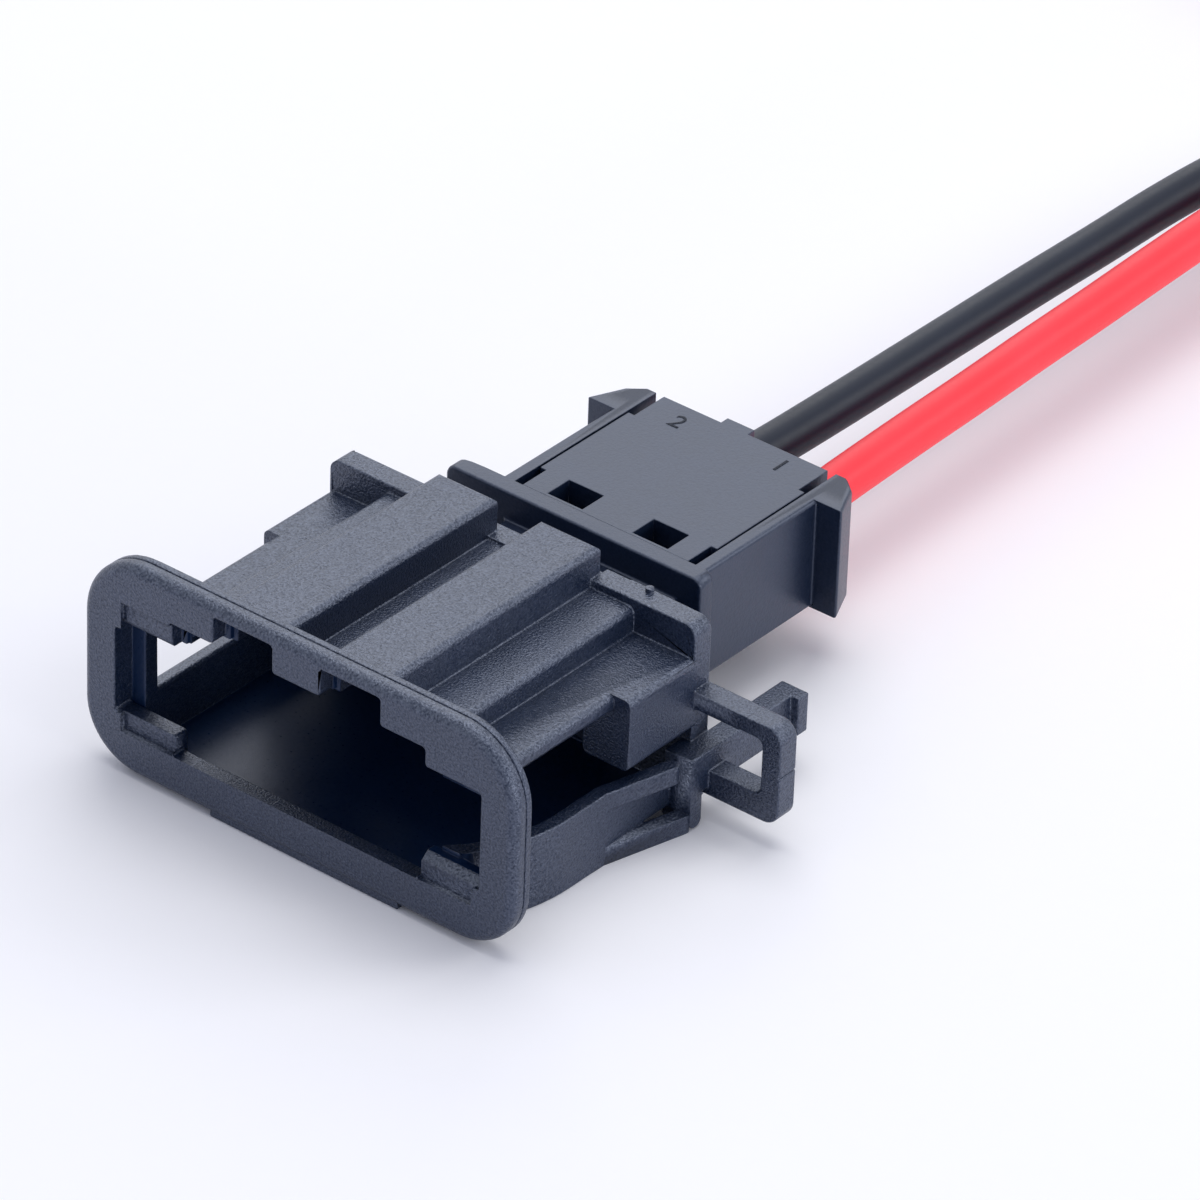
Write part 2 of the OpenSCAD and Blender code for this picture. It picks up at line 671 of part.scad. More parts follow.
// Stamped contact: blade, body, and barrels crimped on the strands and on the lead
module terminal(x) color([0.78, 0.76, 0.70]) placed() translate([x, 0, contact_z]) {
    along_z(-blade_t / 2, blade_t / 2) soft(soft_r) area(-blade_w / 2, blade_w / 2, blade_y, body_y + over);
    difference() {
        box(-contact_w / 2, contact_w / 2, body_y, core_y, -contact_h / 2, contact_h / 2);
        box(crimp_t - contact_w / 2, contact_w / 2 - crimp_t, body_y + over, core_y + over,
            crimp_t - contact_h / 2, contact_h / 2 - crimp_t);
    }
    box(-contact_w / 4, contact_w / 4, core_y - join, grip_y + join, -contact_h / 2, crimp_t - contact_h / 2);
    translate([0, core_y - join, crimp_t / 2 + lead_d / 2 - contact_h / 2]) rotate([-90, 0, 0])
        cylinder(d = lead_d, h = crimp_l + join);
    translate([0, grip_y, 0]) rotate([-90, 0, 0]) difference() {
        cylinder(d = contact_h, h = crimp_l);
        translate([0, 0, -over]) cylinder(d = lead_d + 2 * lead_fit, h = crimp_l + 2 * over);
    }
}

module left_terminal() terminal(way_x[0]);

module right_terminal() terminal(way_x[1]);

// Ring of points round a place on a route, square to the way it runs there
function ring(route, i, sides) =
    let (last = len(route) - 1,
         way = route[min(i + 1, last)] - route[max(i - 1, 0)],
         ahead = (i == 0 || i == last) ? [0, 1, 0] : way / norm(way),
         side = cross(ahead, [0, 0, 1]) / norm(cross(ahead, [0, 0, 1])),
         up = cross(side, ahead))
    [for (k = [0:sides - 1])
        route[i] + lead_d / 2 * (cos(360 * k / sides) * side + sin(360 * k / sides) * up)];

// Tube along a route
module tube(route) {
    sides = 8;
    rings = len(route);
    points = [for (i = [0:rings - 1]) each ring(route, i, sides)];
    walls = [for (i = [0:rings - 2], k = [0:sides - 1])
        [i * sides + k, i * sides + (k + 1) % sides, (i + 1) * sides + (k + 1) % sides, (i + 1) * sides + k]];
    ends = [[for (k = [0:sides - 1]) sides - 1 - k], [for (k = [0:sides - 1]) (rings - 1) * sides + k]];
    polyhedron(points, concat(walls, ends));
}

// A lead runs straight through its crimp before it follows its route
module lead(x, route) placed()
    tube(concat([[x, lead_y, contact_z], [x, lead_y + crimp_l, contact_z]], route));

module black_wire() color([0.05, 0.05, 0.06]) lead(way_x[0], black_route);

module red_wire() color([0.80, 0.08, 0.10]) lead(way_x[1], red_route);

// Outer shape of both leads wound together
module wire_coil() color([0.45, 0.08, 0.10]) placed() translate(coil_mid)
    rotate_extrude(angle = 360 - coil_gap, $fn = 64)
        translate([coil_in, 0]) square([coil_w, coil_h]);

// Tie round one place of the coil
module coil_tie() color([0.85, 0.85, 0.82]) placed() translate([coil_mid[0] - coil_d / 2, coil_mid[1], 0])
    along_y(-tie_w / 2, tie_w / 2) translate([0, coil_h / 2 + tie_t + tie_fit]) difference() {
        square(tie_hole + 2 * tie_t * [1, 1], center = true);
        square(tie_hole, center = true);
    }

shroud();
contact_carrier();
lock_cover();
left_terminal();
right_terminal();
black_wire();
red_wire();
wire_coil();
coil_tie();
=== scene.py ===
"""Two-way automotive plug: a flanged black shroud, its contact carrier, and a black and a red lead."""
import math

import bmesh
import bpy
import numpy as np
from mathutils import Matrix, Vector


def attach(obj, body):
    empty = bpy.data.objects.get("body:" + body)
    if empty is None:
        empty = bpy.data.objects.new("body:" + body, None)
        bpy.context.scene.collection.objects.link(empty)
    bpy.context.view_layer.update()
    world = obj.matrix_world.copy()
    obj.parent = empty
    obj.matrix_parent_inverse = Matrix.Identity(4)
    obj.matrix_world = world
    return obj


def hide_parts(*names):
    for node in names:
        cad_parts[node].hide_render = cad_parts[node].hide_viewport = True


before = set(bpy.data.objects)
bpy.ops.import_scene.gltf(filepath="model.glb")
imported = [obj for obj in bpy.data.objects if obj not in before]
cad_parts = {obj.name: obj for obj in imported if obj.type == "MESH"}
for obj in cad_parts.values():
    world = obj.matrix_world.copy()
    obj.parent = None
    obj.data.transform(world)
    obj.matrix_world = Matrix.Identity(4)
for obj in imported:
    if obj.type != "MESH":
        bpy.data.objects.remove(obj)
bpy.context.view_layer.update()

# Studio: a small product shot on white paper inside a light tent, so the light comes softly from all
# round, most of it from above. The lens is long and looks down on the mouth and the side with the loop.
scene = bpy.context.scene
scene.view_settings.view_transform = "Standard"

azimuth, elevation, roll = (math.radians(angle) for angle in (38.003, 33.004, -2.135))
camera_place = (0.201895, -0.25454, 0.21808)
flat_reach = math.cos(elevation)
back = Vector((math.sin(azimuth) * flat_reach, -math.cos(azimuth) * flat_reach, math.sin(elevation)))
level = (-back).cross(Vector((0, 0, 1))).normalized()
below = (-back).cross(level)
across = math.cos(roll) * level + math.sin(roll) * below
upward = math.sin(roll) * level - math.cos(roll) * below
lens = bpy.data.cameras.new("camera")
lens.lens = 256.92
lens.sensor_width = 36.0
lens.clip_start = 0.01
lens.clip_end = 20.0
camera = bpy.data.objects.new("camera", lens)
facing = Matrix((across, upward, back)).transposed().to_4x4()
camera.matrix_world = Matrix.Translation(camera_place) @ facing
scene.collection.objects.link(camera)
scene.camera = camera


def node_tree(owner):
    """Empties the node tree of a material or the world, and gives a maker of its nodes, which fills their
    sockets by name, and a linker from one node's output to another node's socket."""
    owner.use_nodes = True
    tree = owner.node_tree
    tree.nodes.clear()

    def node(kind, sockets=None, **settings):
        made = tree.nodes.new("ShaderNode" + kind)
        for key, value in settings.items():
            setattr(made, key, value)
        for key, value in (sockets or {}).items():
            made.inputs[key].default_value = value
        return made

    def link(source, output, target, socket):
        tree.links.new(source.outputs[output], target.inputs[socket])

    return node, link


def two_tones(ramp, low, first, high, second):
    """Sets a colour ramp that goes from the first tone at the low mark to the second at the high mark."""
    start, end = ramp.color_ramp.elements
    start.position = low
    start.color = (*first, 1)
    end.position = high
    end.color = (*second, 1)


tent = bpy.data.worlds.new("tent")
scene.world = tent
node, link = node_tree(tent)
rays = node("LightPath")
seen = node("Math", operation="MAXIMUM")
mirrored = node("Math", operation="MAXIMUM")
glow = node("Background", {"Color": (0.76, 0.81, 1.0, 1), "Strength": 0.56})
white = node("Background", {"Color": (0.985, 0.99, 1.0, 1)})
mix = node("MixShader")
out = node("OutputWorld")
link(rays, "Is Camera Ray", seen, 0)
link(rays, "Is Transmission Ray", seen, 1)
link(seen, 0, mirrored, 0)
link(rays, "Is Glossy Ray", mirrored, 1)
link(mirrored, 0, mix, 0)
link(glow, 0, mix, 1)
link(white, 0, mix, 2)
link(mix, 0, out, "Surface")


def softbox(name, place, target, size, power):
    """Square area lamp of that size at a place, turned to face the target."""
    lamp = bpy.data.lights.new(name, "AREA")
    lamp.shape = "SQUARE"
    lamp.size = size
    lamp.energy = power
    holder = bpy.data.objects.new(name, lamp)
    holder.location = place
    holder.rotation_euler = (Vector(target) - Vector(place)).to_track_quat("-Z", "Y").to_euler()
    scene.collection.objects.link(holder)


softbox("tent_top", (-0.05, 0.10, 0.60), (0, 0, 0), size=0.50, power=1.8)
softbox("tent_rear", (-0.42, 0.50, 0.42), (0, 0, 0), size=0.45, power=0.88)
softbox("tent_right", (0.46, 0.46, 0.38), (0, 0, 0.005), size=0.32, power=1.1)
softbox("tent_low", (0.60, -0.06, 0.07), (0, 0, 0.004), size=0.14, power=0.9)

paper_corners = [(-3, -3, 0), (3, -3, 0), (3, 3, 0), (-3, 3, 0)]
paper = bpy.data.meshes.new("paper")
paper.from_pydata(paper_corners, [], [(0, 1, 2, 3)])
floor = bpy.data.objects.new("paper", paper)
scene.collection.objects.link(floor)
white_paper = bpy.data.materials.new("white_paper")
paper.materials.append(white_paper)
node, link = node_tree(white_paper)
coords = node("TexCoord")
fibre = node("TexNoise", {"Scale": 900.0})
tone = node("ValToRGB")
two_tones(tone, 0, (0.960, 0.945, 0.945), 1, (0.970, 0.955, 0.955))
skin = node("BsdfPrincipled", {"Roughness": 0.9, "Specular IOR Level": 0.1})
out = node("OutputMaterial")
link(coords, "Object", fibre, "Vector")
link(fibre, "Fac", tone, "Fac")
link(tone, "Color", skin, "Base Color")
link(skin, 0, out, "Surface")

# Leads: two stranded copper wires in glossy PVC, crimped in the carrier. They run straight out of it,
# sink to the surface and are wound into one small coil, with stripped and tinned ends.
# Places are in millimetres from the middle of the flange's face at the height of the paper, and the shared
# frame starts under the plug's middle.
MM = 0.001
PLUG_MIDDLE = np.array([1.615, 15.61, 0.0])
upright = np.array([0, 0, 1.0])
lead_radius = 1.1
black_route = np.array([
    [-1.5, 25.0, 4.7], [-1.5, 27.2, 4.7], [-1.4, 30.5, 4.7], [-1.25, 33, 4.7], [-1.1, 36, 4.7],
    [-1, 41, 4.7], [-0.95, 46, 4.7], [-0.9, 51, 4.7], [-0.85, 56, 4.7], [-0.75, 61, 4.7], [-0.7, 66, 4.7],
    [-0.6, 70, 4.6], [-0.5, 74, 4.3], [-0.4, 78, 3.9], [-0.3, 82, 3.4], [-0.2, 86, 2.9], [-0.1, 90, 2.45],
    [0, 94, 2.1], [0, 98, 1.8], [0, 102, 1.65], [0, 105, 1.6], [0, 108, 1.6]])
red_route = np.array([
    [3.5, 25.0, 4.7], [3.5, 27.2, 4.7], [3.5, 30.5, 4.7], [3.35, 33, 4.7], [3.2, 36, 4.7],
    [3.05, 41, 4.7], [2.95, 46, 4.7], [2.8, 51, 4.7], [2.7, 56, 4.7], [2.55, 61, 4.7], [2.45, 66, 4.7],
    [2.4, 70, 4.6], [2.35, 74, 4.3], [2.3, 78, 3.9], [2.3, 82, 3.4], [2.3, 86, 2.9], [2.3, 90, 2.45],
    [2.3, 94, 2.1], [2.3, 98, 1.8], [2.3, 102, 1.65], [2.3, 105, 1.6], [2.3, 108, 1.6]])
inner_turn = 9.85
outer_turn = 12.15
coil_middle = np.array([-inner_turn, 108.0])
wound = math.radians(565)
coil_steps = 160
climb_start = math.radians(215)
climb_span = math.radians(85)
lower_layer = 1.6
layer_rise = 2.26


def smooth_line(points, share):
    """Catmull-Rom curve: between two points it is the cubic whose slope at each is half the step between
    that point's neighbours, cut into `share` pieces."""
    ends = np.vstack([2 * points[0] - points[1], points, 2 * points[-1] - points[-2]])
    a, b, c, d = ends[:-3, None], ends[1:-2, None], ends[2:-1, None], ends[3:, None]
    t = np.linspace(0, 1, share, endpoint=False)[None, :, None]
    curve = b + 0.5 * t * (c - a + t * (2 * a - 5 * b + 4 * c - d + t * (3 * (b - c) + d - a)))
    return np.vstack([curve.reshape(-1, 3), points[-1]])


def coil_line(radius):
    """Circle of that radius round the coil's middle, from where a lead comes in to just past the tie on its
    second turn: the height goes from the lower layer to the upper one by a smooth step, 3t^2 - 2t^3, before
    the first turn closes over the incoming leads."""
    angle = np.linspace(0, wound, coil_steps)[1:]
    t = np.clip((angle - climb_start) / climb_span, 0, 1)
    x = coil_middle[0] + radius * np.cos(angle)
    y = coil_middle[1] + radius * np.sin(angle)
    return np.column_stack([x, y, lower_layer + layer_rise * t * t * (3 - 2 * t)])


def tube_mesh(name, lines, radius, sides=28):
    """Tubes: at each point of a line a circle square to it, radius * (cos(v) * side + sin(v) * up), where
    side is level and up is square to both. The ends are closed by flat caps."""
    points, walls, caps = [], [], []
    rim = np.arange(sides)
    v = np.linspace(0, 2 * np.pi, sides, endpoint=False)[None, :, None]
    for line in lines:
        first = sum(map(len, points))
        last = first + (len(line) - 1) * sides
        ahead = np.gradient(line, axis=0)
        ahead /= np.linalg.norm(ahead, axis=1)[:, None]
        side = np.cross(ahead, upright)
        side /= np.linalg.norm(side, axis=1)[:, None]
        up = np.cross(side, ahead)
        circles = radius * (np.cos(v) * side[:, None] + np.sin(v) * up[:, None])
        points.append((line[:, None] + circles).reshape(-1, 3))
        here, k = np.meshgrid(np.arange(first, last, sides), rim, indexing="ij")
        after = here + sides
        beside = (k + 1) % sides
        walls += np.stack([here + k, here + beside, after + beside, after + k], -1).reshape(-1, 4).tolist()
        caps += [(first + rim[::-1]).tolist(), (last + rim).tolist()]
    mesh = bpy.data.meshes.new(name)
    mesh.from_pydata(((np.vstack(points) - PLUG_MIDDLE) * MM).tolist(), [], walls + caps)
    mesh.polygons.foreach_set("use_smooth", np.arange(len(mesh.polygons)) < len(walls))
    mesh.validate()
    return mesh


def piece(name, mesh, material):
    """Object at the origin that carries a mesh and a material and rides on the plug."""
    made = bpy.data.objects.new(name, mesh)
    scene.collection.objects.link(made)
    mesh.materials.clear()
    mesh.materials.append(material)
    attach(made, "root")
    return made


def pvc(name, colour, deep, roughness, shine):
    """Extruded PVC: the colour drifts a little along the lead between a fuller and a deeper tone, and a
    fine noise roughens and ripples the surface."""
    made = bpy.data.materials.new(name)
    node, link = node_tree(made)
    coords = node("TexCoord")
    drift = node("TexNoise", {"Scale": 260.0, "Detail": 3.0})
    tone = node("ValToRGB")
    two_tones(tone, 0.3, deep, 0.7, colour)
    fine = node("TexNoise", {"Scale": 3500.0, "Detail": 2.0})
    gloss = node("MapRange", {"To Min": roughness - 0.06, "To Max": roughness + 0.08})
    ripple = node("Bump", {"Strength": 0.10, "Distance": 0.02 * MM})
    skin = node("BsdfPrincipled", {"Specular IOR Level": shine})
    out = node("OutputMaterial")
    link(coords, "Object", drift, "Vector")
    link(coords, "Object", fine, "Vector")
    link(drift, "Fac", tone, "Fac")
    link(tone, "Color", skin, "Base Color")
    link(fine, "Fac", gloss, "Value")
    link(gloss, "Result", skin, "Roughness")
    link(fine, "Fac", ripple, "Height")
    link(ripple, "Normal", skin, "Normal")
    link(skin, 0, out, "Surface")
    return made


def metal(name, colour, worn, roughness):
    """Plated metal: the plating's tone varies in small clouds, and fine drawn lines along the piece
    roughen it."""
    made = bpy.data.materials.new(name)
    node, link = node_tree(made)
    coords = node("TexCoord")
    cloud = node("TexNoise", {"Scale": 1400.0})
    tone = node("ValToRGB")
    two_tones(tone, 0.35, worn, 0.65, colour)
    stretch = node("Mapping", {"Scale": (9000.0, 500.0, 9000.0)})
    lines = node("TexNoise", {"Scale": 1.0})
    gloss = node("MapRange", {"To Min": roughness - 0.06, "To Max": roughness + 0.12})
    dent = node("Bump", {"Strength": 0.15, "Distance": 0.01 * MM})
    skin = node("BsdfPrincipled", {"Metallic": 1.0})
    out = node("OutputMaterial")
    link(coords, "Object", cloud, "Vector")
    link(coords, "Object", stretch, "Vector")
    link(stretch, "Vector", lines, "Vector")
    link(cloud, "Fac", tone, "Fac")
    link(tone, "Color", skin, "Base Color")
    link(lines, "Fac", gloss, "Value")
    link(gloss, "Result", skin, "Roughness")
    link(lines, "Fac", dent, "Height")
    link(dent, "Normal", skin, "Normal")
    link(skin, 0, out, "Surface")
    return made


black_pvc = pvc("black_pvc", (0.006, 0.011, 0.026), (0.004, 0.008, 0.020), roughness=0.40, shine=0.26)
red_pvc = pvc("red_pvc", (0.97, 0.045, 0.062), (0.92, 0.038, 0.052), roughness=0.42, shine=0.30)
tinned_copper = metal("tinned_copper", (0.80, 0.78, 0.74), (0.70, 0.62, 0.52), roughness=0.32)
bare_start, bare_end, bare_steps = -0.6, 4.2, 40
stripped = np.linspace(bare_start, bare_end, bare_steps)[:, None]
strand_count = 6
strand_radius = 0.185
strand_circle = 0.36
twist_length = 9
for colour, route, turn, finish in (("black", black_route, inner_turn, black_pvc),
                                    ("red", red_route, outer_turn, red_pvc)):
    line = np.vstack([smooth_line(route, share=6), coil_line(turn)])
    sleeve = tube_mesh(colour + "_lead", [line], lead_radius)
    lead = piece(colour + "_lead", sleeve, finish)
    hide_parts(colour + "_wire", "wire_coil")
    ahead = line[-1] - line[-2]
    ahead /= np.linalg.norm(ahead)
    level_side = np.cross(ahead, upright)
    twists = [2 * np.pi * (spoke / strand_count + stripped / twist_length) for spoke in range(strand_count)]
    cores = [line[-1] + stripped * ahead + strand_circle * (np.cos(t) * level_side + np.sin(t) * upright)
             for t in twists]
    twisted = tube_mesh(colour + "_strands", cores, strand_radius, sides=10)
    strands = piece(colour + "_strands", twisted, tinned_copper)

# Contacts: two flat tabs, stamped and folded from tin-plated brass strip. Each is crimped on its lead and
# pushed into the carrier from behind.
tin_plate = metal("tin_plate", (0.80, 0.78, 0.73), (0.70, 0.66, 0.58), roughness=0.26)
for side_name in ("left_terminal", "right_terminal"):
    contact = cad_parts[side_name]
    contact.data.materials.clear()
    contact.data.materials.append(tin_plate)

# Contact carrier: the inner moulding in black nylon, into which the contacts are pushed from behind. Its
# faces are satin, and its edges have the small radius that the moulder needs.
merge_reach = 0.002
sliver = 0.004
touch = 0.001
flat_angle = math.radians(0.4)
sharp_angle = math.radians(28)
edge_marks = (0.08, 0.5, 0.92)
room_share = 0.42
tight_reach = 0.8
least_width = 0.015


def flat_faces(mesh, cuts):
    """Edit form of a mesh: the corners of its triangles are merged, upright planes at the places in `cuts`
    part the faces that have openings, and then flat neighbours become one face."""
    form = bmesh.new()
    form.from_mesh(mesh)
    bmesh.ops.remove_doubles(form, verts=form.verts, dist=merge_reach * MM)
    bmesh.ops.dissolve_degenerate(form, edges=form.edges, dist=sliver * MM)
    for place in cuts:
        parted = bmesh.ops.bisect_plane(
            form, geom=form.verts[:] + form.edges[:] + form.faces[:], dist=touch * MM,
            plane_co=((place - PLUG_MIDDLE[0]) * MM, 0, 0), plane_no=(1, 0, 0))
        for one in parted["geom_cut"]:
            if isinstance(one, bmesh.types.BMEdge):
                one.seam = True
    bmesh.ops.dissolve_limit(form, angle_limit=flat_angle, verts=form.verts, edges=form.edges,
                             delimit={"SEAM"})
    form.normal_update()
    form.edges.index_update()
    return form


def edge_room(form, sharp):
    """Room beside each sharp edge: the least distance straight into its two faces to the far side of the
    face, taken at three places along the edge."""
    room = np.where(sharp, 1.0, 0.0)
    for face in form.faces:
        start = np.array([corner.vert.co for corner in face.loops])
        end = np.roll(start, -1, axis=0)
        for corner in face.loops:
            edge = corner.edge.index
            if not sharp[edge]:
                continue
            here = np.array(corner.vert.co)
            along = np.array(corner.link_loop_next.vert.co) - here
            length = np.linalg.norm(along)
            inward = np.cross(face.normal, along / length)
            x0, x1 = (start - here) @ along / length, (end - here) @ along / length
            y0, y1 = (start - here) @ inward, (end - here) @ inward
            for mark in edge_marks:
                passed = (x0 - mark * length) * (x1 - mark * length) < 0
                height = y0[passed] + (mark * length - x0[passed]) / (x1 - x0)[passed] * (y1 - y0)[passed]
                room[edge] = min([room[edge], *height[height > touch * MM]])
    return room


def moulding(name, node_name, material, width, cuts, tight=()):
    """Piece made from a CAD node's mesh: its sharp edges are rounded to that width, or as far as the room
    beside them lets, and stay sharp near the tight places."""
    form = flat_faces(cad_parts[node_name].data, cuts)
    sharp = np.array([edge.calc_face_angle(0) > sharp_angle for edge in form.edges])
    weights = np.minimum(1, room_share * edge_room(form, sharp) / (width * MM))
    ends = np.array([[corner.co for corner in edge.verts] for edge in form.edges]) / MM + PLUG_MIDDLE
    for place in tight:
        weights[(np.linalg.norm(ends - place, axis=2) < tight_reach).any(axis=1)] = 0
    weights[weights * width < least_width] = 0
    for edge, left_sharp in zip(form.edges, sharp & (weights == 0)):
        edge.smooth = not left_sharp
    mesh = bpy.data.meshes.new(name)
    form.to_mesh(mesh)
    form.free()
    mesh.attributes.new("bevel_weight_edge", "FLOAT", "EDGE").data.foreach_set("value", weights)
    mesh.polygons.foreach_set("use_smooth", np.ones(len(mesh.polygons), bool))
    made = piece(name, mesh, material)
    bevel = made.modifiers.new("edges", "BEVEL")
    bevel.width = width * MM
    bevel.segments = 2
    bevel.limit_method = "WEIGHT"
    bevel.use_clamp_overlap = False
    made.modifiers.new("even", "WEIGHTED_NORMAL").keep_sharp = True
    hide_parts(node_name)
    return made


def nylon(name, colour, deep, roughness, grain, depth, gleam, pit_shade, painted_light_tint=(0.70, 0.78, 1.0)):
    """Moulded nylon: flow clouds drift between two tones, the tool's grain is a fine noise of that size in
    millimetres that pits the surface and lowers its gleam in the pits as painted shade of the pits, the
    reflections take a tint that paints a bluish light on them, and the last crisp edges are softened."""
    made = bpy.data.materials.new(name)
    node, link = node_tree(made)
    coords = node("TexCoord")
    flow = node("TexNoise", {"Scale": 420.0, "Detail": 4.0})
    tone = node("ValToRGB")
    two_tones(tone, 0.3, deep, 0.7, colour)
    pits = node("TexNoise", {"Scale": 1 / (grain * MM), "Detail": 2.0, "Roughness": 0.6})
    gloss = node("MapRange", {"To Min": roughness - 0.10, "To Max": roughness + 0.14})
    # Painted shade in the grain's pits: the gleam is lowest where the noise is lowest.
    shine = node("MapRange", {"From Min": 0.3, "From Max": 0.7,
                              "To Min": gleam - pit_shade, "To Max": gleam + pit_shade})
    soft = node("Bevel", {"Radius": 0.06 * MM}, samples=4)
    dent = node("Bump", {"Strength": 1.0, "Distance": depth * MM})
    # The reflections' tint is painted bluish light; it is neutral for the natural nylon.
    skin = node("BsdfPrincipled", {"IOR": 1.7, "Specular Tint": (*painted_light_tint, 1)})
    out = node("OutputMaterial")
    link(coords, "Object", flow, "Vector")
    link(coords, "Object", pits, "Vector")
    link(flow, "Fac", tone, "Fac")
    link(tone, "Color", skin, "Base Color")
    link(pits, "Fac", gloss, "Value")
    link(gloss, "Result", skin, "Roughness")
    link(pits, "Fac", shine, "Value")
    link(shine, "Result", skin, "Specular IOR Level")
    link(pits, "Fac", dent, "Height")
    link(soft, "Normal", dent, "Normal")
    link(dent, "Normal", skin, "Normal")
    link(skin, 0, out, "Surface")
    return made


black_tones = ((0.0030, 0.0090, 0.0280), (0.0020, 0.0070, 0.0220))
satin_nylon = nylon("satin_nylon", *black_tones, roughness=0.36, grain=0.14, depth=0.012,
                    gleam=0.50, pit_shade=0.08)
cover_top = 8.6
recess_front, recess_rear = 20.37, 31.2
recess_left, recess_right = -4.32, 6.32
window_cuts = (-1.4, 3.5)
recess_rim = [(x, recess_front, cover_top) for x in (recess_left, window_cuts[0], recess_right)]
recess_rim += [(x, recess_rear, cover_top) for x in (recess_left, recess_right)]
moulding("carrier_moulding", "contact_carrier", satin_nylon, width=0.14,
         cuts=window_cuts, tight=recess_rim)

# Lock cover: the flat plate in black nylon that slides into the carrier's top over the contacts and locks
# them. The numbers of its two ways are sunk in it near the leads; here they are thin letters laid on its
# top in a darker, duller nylon, the painted shade inside the sunk numbers.
moulding("cover_moulding", "lock_cover", satin_nylon, width=0.03, cuts=window_cuts)
# Painted shade: the darker, duller tones of the numbers stand for the shade inside the sunk numbers.
number_shade_tones = ((0.0015, 0.0030, 0.0080), (0.0010, 0.0020, 0.0060))
painted_number_shade = nylon("painted_number_shade", *number_shade_tones, roughness=0.7, grain=0.10, depth=0.010, gleam=0.30, pit_shade=0.20)
number_size = 1.5
number_skin = 0.012
number_lift = 0.004
for number, place in (("2", (-1.95, 29.35)), ("1", (3.95, 29.55))):
    letter = bpy.data.curves.new("way_" + number, "FONT")
    letter.body = number
    letter.size = number_size * MM
    letter.align_x = "CENTER"
    letter.align_y = "CENTER"
    letter.extrude = number_skin * MM
    stand_in = bpy.data.objects.new("way_" + number, letter)
    scene.collection.objects.link(stand_in)
    mesh = bpy.data.meshes.new_from_object(stand_in)
    bpy.data.objects.remove(stand_in)
    spot = (np.array([*place, cover_top + number_lift]) - PLUG_MIDDLE) * MM
    mesh.transform(Matrix.Translation(spot))
    piece("way_number_" + number, mesh, painted_number_shade)

# Shroud: one injection moulding in black glass-filled nylon, snapped over the carrier's neck. Its outer
# faces carry the fine spark-eroded grain of the tool, and thin flash lines run along the feet of the ribs
# and steps.
grained_nylon = nylon("grained_nylon", *black_tones, roughness=0.31, grain=0.11, depth=0.05,
                      gleam=0.70, pit_shade=0.42)
# Painted shade: a bluer, less gleaming nylon darkens the faces inside the mouth; only its weak grain is
# real.
core_shade_tones = ((0.0040, 0.0160, 0.0520), (0.0030, 0.0130, 0.0440))
core_nylon_painted_shade = nylon("core_nylon_painted_shade", *core_shade_tones, roughness=0.30, grain=0.20, depth=0.004,
                   gleam=0.25, pit_shade=0.04)
shroud_cuts = (0, 13.5, 1.6, -10.3, 6.1, -6.1)
spring_arm = [(11.47, 14.44, 0), (11.8, 13.4, 0), (11.8, 12.9, 0.94), (10.1, 2.85, 1), (9.6, 2.15, 1)]
shoulders = [(9.95, 1.21, 7.8), (10.3, 10.12, 8.2), (-10.1, 10.12, 8.2)]
mouth_lip = [(6.98, 0, 2.1), (-6.98, 0, 2.1), (1.6, 0, 2.3), (-6.1, 0, 2.3)]
end_plate = [(-10.6, 14.72, 8.95), (10.78, 14.75, 5.65), (10.78, 15.85, 5.65)]
shroud = moulding("shroud_moulding", "shroud", grained_nylon, width=0.08,
                  cuts=shroud_cuts, tight=[*spring_arm, *shoulders, *mouth_lip, *end_plate])


def between(points, low, high):
    """True for each point that lies in the box between two corners."""
    return ((points > low) & (points < high)).all(axis=1)


# The painted-shade nylon goes on the faces in the mouth's cavity and just behind the mouth.
middles = np.array([face.center for face in shroud.data.polygons]) / MM + PLUG_MIDDLE
cavity = between(middles, low=(-9.2, 0.9, 0.5), high=(9.2, 14.75, 7.6))
behind_mouth = between(middles, low=(-10.7, 0.86, 0.5), high=(10.7, 1.196, 10.9))
shroud.data.materials.append(core_nylon_painted_shade)
shroud.data.polygons.foreach_set("material_index", (cavity | behind_mouth).astype(int))

rib_foot = (4.75, 9.45)
step_foot = (7.3, 8.2)
flash_front, flash_rear = 1.6, 14.6
flash_radius = 0.035
flash = [np.array([[side * x, flash_front, z], [side * x, flash_rear, z]])
         for x, z in (rib_foot, step_foot) for side in (-1, 1)]
flash_mesh = tube_mesh("flash_lines", flash, flash_radius, sides=8)
piece("flash_lines", flash_mesh, grained_nylon)

# Coil tie: a narrow strap in natural nylon drawn tight round the coil, with a locking head on top and its
# tail cut short. A shallow channel runs along the strap between two rails.
tie_height = 2.8
tie_place = np.array([coil_middle[0] - (inner_turn + outer_turn) / 2, coil_middle[1], tie_height])
half_x, half_z, bend = 2.59, 2.4, 1.0
corner_steps = 10
profile = np.array([[-1.25, 0.0], [1.25, 0.0], [1.25, 0.4], [0.95, 0.4],
                    [0.85, 0.28], [-0.85, 0.28], [-0.95, 0.4], [-1.25, 0.4]])


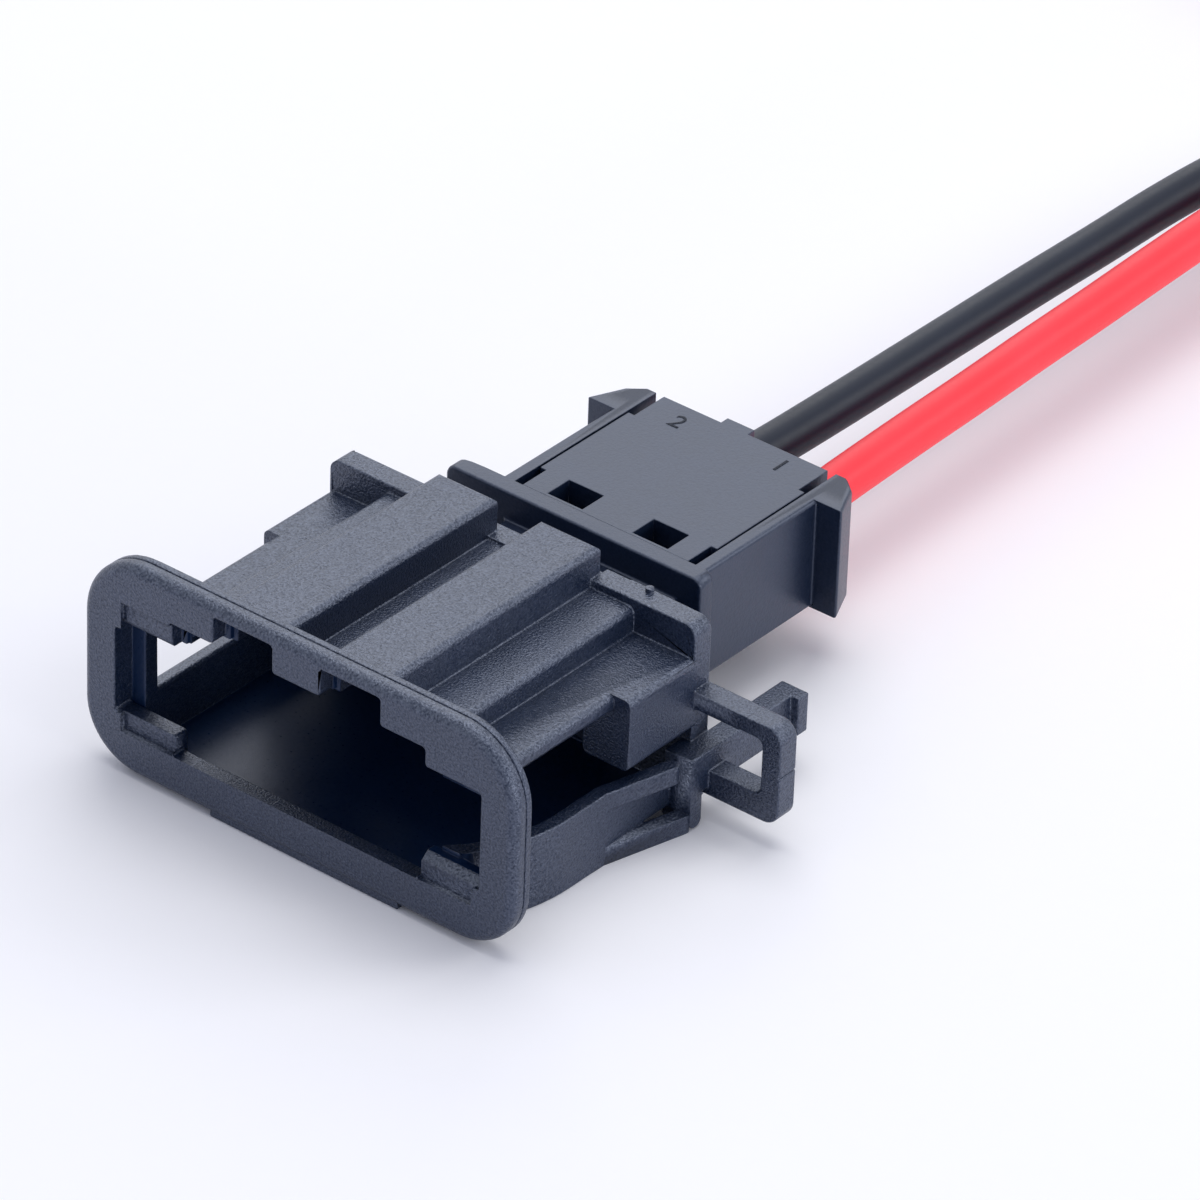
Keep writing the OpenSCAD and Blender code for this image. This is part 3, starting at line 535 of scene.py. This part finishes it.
def strap_mesh(name):
    """Ring: round a box with rounded corners goes a profile of 8 corners, at each step the corner's middle
    plus (bend + height) * (cos(a), sin(a)) across and the profile's other value along."""
    angle = np.radians(np.concatenate([np.linspace(k, k + 90, corner_steps) for k in (0, 90, 180, 270)]))
    zeros = np.zeros(len(angle))
    corner_x = np.repeat([1, -1, -1, 1], corner_steps) * (half_x - bend)
    corner_z = np.repeat([1, 1, -1, -1], corner_steps) * (half_z - bend)
    middle = tie_place + np.column_stack([corner_x, zeros, corner_z])
    away = np.column_stack([np.cos(angle), zeros, np.sin(angle)])
    along = np.array([0, 1.0, 0]) * profile[None, :, :1]
    ring = middle[:, None] + away[:, None] * (bend + profile[None, :, 1:]) + along
    steps, sides = len(angle), len(profile)
    i, k = np.meshgrid(np.arange(steps), np.arange(sides), indexing="ij")
    here = i * sides
    after = (i + 1) % steps * sides
    beside = (k + 1) % sides
    walls = np.stack([here + k, after + k, after + beside, here + beside], -1).reshape(-1, 4)
    mesh = bpy.data.meshes.new(name)
    mesh.from_pydata(((ring.reshape(-1, 3) - PLUG_MIDDLE) * MM).tolist(), [], walls.tolist())
    return mesh


def block_mesh(name, low, high, width):
    """Box between two corners, measured from the tie's place: a unit cube stretched to the box's size and
    moved to its middle, with its edges rounded to that width."""
    low, high = tie_place + low, tie_place + high
    stretch = Matrix.Diagonal((*((high - low) * MM), 1))
    move = Matrix.Translation(((low + high) / 2 - PLUG_MIDDLE) * MM)
    form = bmesh.new()
    bmesh.ops.create_cube(form, size=1.0, matrix=move @ stretch)
    bmesh.ops.bevel(form, geom=form.edges, offset=width * MM, segments=3, profile=0.5, affect="EDGES")
    mesh = bpy.data.meshes.new(name)
    form.to_mesh(mesh)
    form.free()
    return mesh


natural_tones = ((0.78, 0.78, 0.73), (0.70, 0.70, 0.64))
natural_nylon = nylon("natural_nylon", *natural_tones, roughness=0.42, grain=0.40, depth=0.010, gleam=0.40,
                      pit_shade=0.10, painted_light_tint=(1.0, 1.0, 1.0))
strap = piece("tie_strap", strap_mesh("tie_strap"), natural_nylon)
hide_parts("coil_tie")
head = block_mesh("tie_head", low=(-1.6, -1.7, 2.45), high=(1.4, 1.7, 4.1), width=0.3)
piece("tie_head", head, natural_nylon)
tail = block_mesh("tie_tail", low=(1.0, -1.2, 2.95), high=(3.0, 1.2, 3.35), width=0.08)
piece("tie_tail", tail, natural_nylon)
